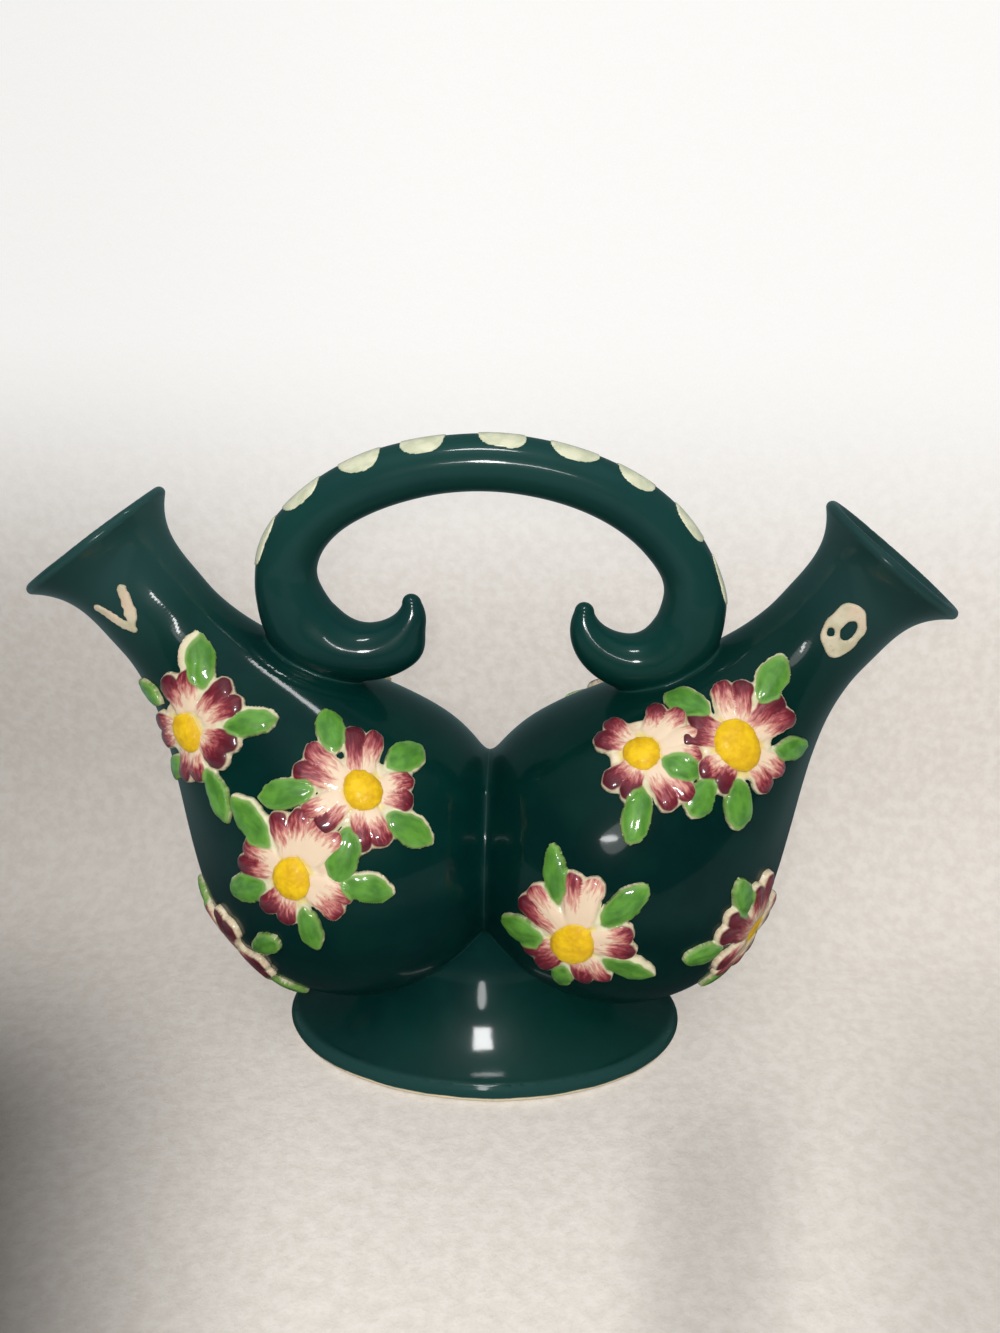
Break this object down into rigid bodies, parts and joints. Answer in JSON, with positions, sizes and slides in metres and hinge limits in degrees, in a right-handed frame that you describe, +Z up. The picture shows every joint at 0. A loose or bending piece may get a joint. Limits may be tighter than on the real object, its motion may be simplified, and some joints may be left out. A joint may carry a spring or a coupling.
{
  "type": "oil and vinegar cruet",
  "caption": "Ceramic oil and vinegar cruet: joined leaning flasks with flared mouths on an oval foot, with a scroll handle and relief flowers.",
  "frame": {"origin": "on the table, under the middle of the foot", "axes": "+Z up, +X from the vinegar flask to the oil flask, +Y to the back, away from the pictured front"},
  "size_m": [0.18, 0.0706, 0.1358],
  "materials": {
    "green_glaze": "dark bottle-green gloss glaze on earthenware",
    "painted_petals": "hand-painted relief flowers: rose and maroon strokes on cream, green leaves, clear glaze",
    "yellow_centres": "stippled yellow domes, clear glaze",
    "cream_enamel": "raised cream enamel brush strokes"
  },
  "bodies": {
    "root": {"centre_back_left_lower": "yellow_centres", "centre_back_left_outer": "yellow_centres", "centre_back_left_shoulder": "yellow_centres", "centre_back_left_upper": "yellow_centres", "centre_back_right_lower": "yellow_centres", "centre_back_right_outer": "yellow_centres", "centre_back_right_shoulder": "yellow_centres", "centre_back_right_upper": "yellow_centres", "centre_front_left_lower": "yellow_centres", "centre_front_left_outer": "yellow_centres", "centre_front_left_shoulder": "yellow_centres", "centre_front_left_upper": "yellow_centres", "centre_front_right_lower": "yellow_centres", "centre_front_right_outer": "yellow_centres", "centre_front_right_shoulder": "yellow_centres", "centre_front_right_upper": "yellow_centres", "foot": "green_glaze", "handle": "green_glaze", "handle_dot_1": "cream_enamel", "handle_dot_2": "cream_enamel", "handle_dot_3": "cream_enamel", "handle_dot_4": "cream_enamel", "handle_dot_5": "cream_enamel", "handle_dot_6": "cream_enamel", "handle_dot_7": "cream_enamel", "handle_dot_8": "cream_enamel", "handle_dot_9": "cream_enamel", "oil_bottle": "green_glaze", "oil_mark": "cream_enamel", "petals_back_left_lower": "painted_petals", "petals_back_left_outer": "painted_petals", "petals_back_left_shoulder": "painted_petals", "petals_back_left_upper": "painted_petals", "petals_back_right_lower": "painted_petals", "petals_back_right_outer": "painted_petals", "petals_back_right_shoulder": "painted_petals", "petals_back_right_upper": "painted_petals", "petals_front_left_lower": "painted_petals", "petals_front_left_outer": "painted_petals", "petals_front_left_shoulder": "painted_petals", "petals_front_left_upper": "painted_petals", "petals_front_right_lower": "painted_petals", "petals_front_right_outer": "painted_petals", "petals_front_right_shoulder": "painted_petals", "petals_front_right_upper": "painted_petals", "vinegar_bottle": "green_glaze", "vinegar_mark": "cream_enamel"}
  },
  "joints": []
}
